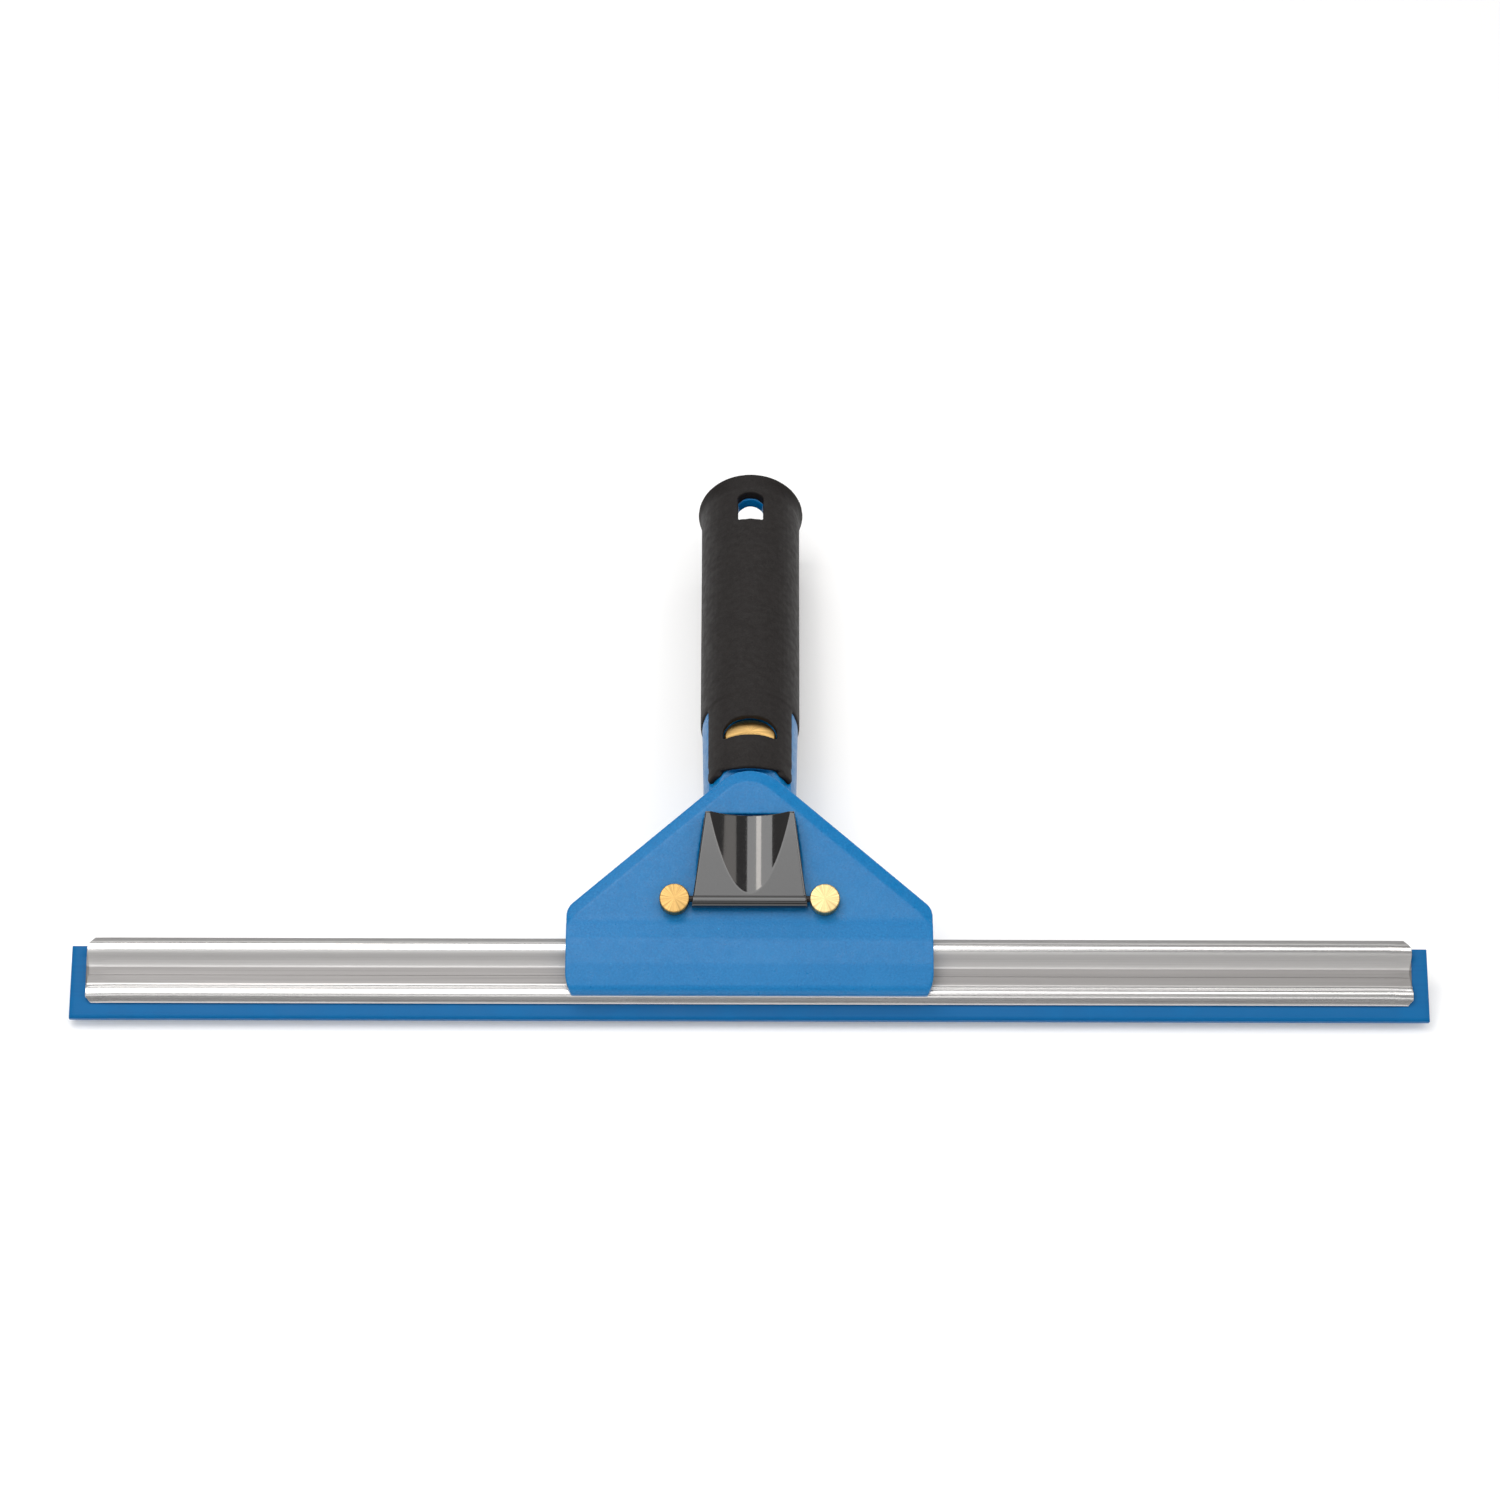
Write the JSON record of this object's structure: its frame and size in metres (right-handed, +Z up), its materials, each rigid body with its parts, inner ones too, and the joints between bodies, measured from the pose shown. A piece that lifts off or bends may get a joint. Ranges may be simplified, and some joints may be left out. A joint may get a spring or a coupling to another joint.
{
  "type": "window cleaning squeegee",
  "caption": "Window squeegee: rubber strip in a steel channel, lever-clamp head swivelling on a hollow rubber-gripped handle that takes a pole.",
  "frame": {"origin": "middle of the bounding box's base, on the table that the tool lies on", "axes": "+X along the wiping edge, +Y from the wiping edge towards the handle's end, +Z up"},
  "size_m": [0.461, 0.2352, 0.0485],
  "materials": {
    "blue_plastic": "fine-textured moulded plastic",
    "black_plastic": "satin",
    "black_rubber": "matt soft rubber",
    "blue_rubber": "smooth rubber",
    "grey_rubber": "matt",
    "stainless": "brushed along its length",
    "brass": "turned",
    "nylon": "satin",
    "gloss_black": "polished",
    "steel": "zinc plated",
    "spring_steel": "bright drawn wire"
  },
  "bodies": {
    "handle": {"handle_core": "blue_plastic", "grip_sleeve": "black_rubber", "pivot_bush": "nylon", "hub_cap": "black_plastic", "button_bush": "brass", "bar_guide": "nylon", "lock_cover": "blue_plastic", "button_spring": "spring_steel", "lock_bar_spring": "spring_steel"},
    "head": {"head_body": "blue_plastic", "seat_pads": "grey_rubber", "head_back_cover": "blue_plastic", "cover_screws": "steel", "detent_ring": "steel", "disc_spring": "spring_steel", "pivot_washer": "steel", "pivot_screw": "steel", "left_clamp_spring": "spring_steel", "right_clamp_spring": "spring_steel"},
    "clamp": {"clamp_jaw": "stainless", "jaw_pad": "grey_rubber", "left_clamp_post": "brass", "right_clamp_post": "brass", "post_nuts": "brass", "lever_hinge_pin": "steel"},
    "lever": {"release_lever": "gloss_black"},
    "channel": {"steel_channel": "stainless", "rubber_blade": "blue_rubber", "left_end_clip": "brass", "right_end_clip": "brass"},
    "button": {"lock_button": "brass", "button_ring": "spring_steel"},
    "lock_bar": {"lock_bar": "steel"}
  },
  "joints": [
    {"name": "head_swivel", "type": "hinge", "parent": "handle", "child": "head", "pos_m": [0, -0.05375, 0.03375], "axis": [0, -0.4578, 0.889], "range_deg": [-40, 40]},
    {"name": "clamp_release", "type": "slide", "parent": "head", "child": "clamp", "axis": [0, -0.4578, 0.889], "range_m": [0, 0.00125], "stiffness_N_per_m": 6000, "springref_m": -0.002, "deforming": ["left_clamp_spring", "right_clamp_spring"]},
    {"name": "lever_press", "type": "hinge", "parent": "clamp", "child": "lever", "pos_m": [0, -0.08747, 0.03], "axis": [-1, 0, 0], "range_deg": [0, 8.96]},
    {"name": "channel_slide", "type": "slide", "parent": "head", "child": "channel", "axis": [1, 0, 0], "range_m": [-0.16, 0.16]},
    {"name": "button_press", "type": "slide", "parent": "handle", "child": "button", "axis": [0, -0.0759, -0.9971], "range_m": [0, 0.0025], "stiffness_N_per_m": 800, "springref_m": -0.001, "deforming": ["button_spring"]},
    {"name": "lock_bar_slide", "type": "slide", "parent": "handle", "child": "lock_bar", "axis": [0, 0.9971, -0.0759], "range_m": [0, 0.0025], "deforming": ["lock_bar_spring"]}
  ],
  "couplings": [
    {"joint": "lever_press", "follows": "clamp_release", "rad_per_m": 125},
    {"joint": "lock_bar_slide", "follows": "button_press", "ratio": 1}
  ]
}
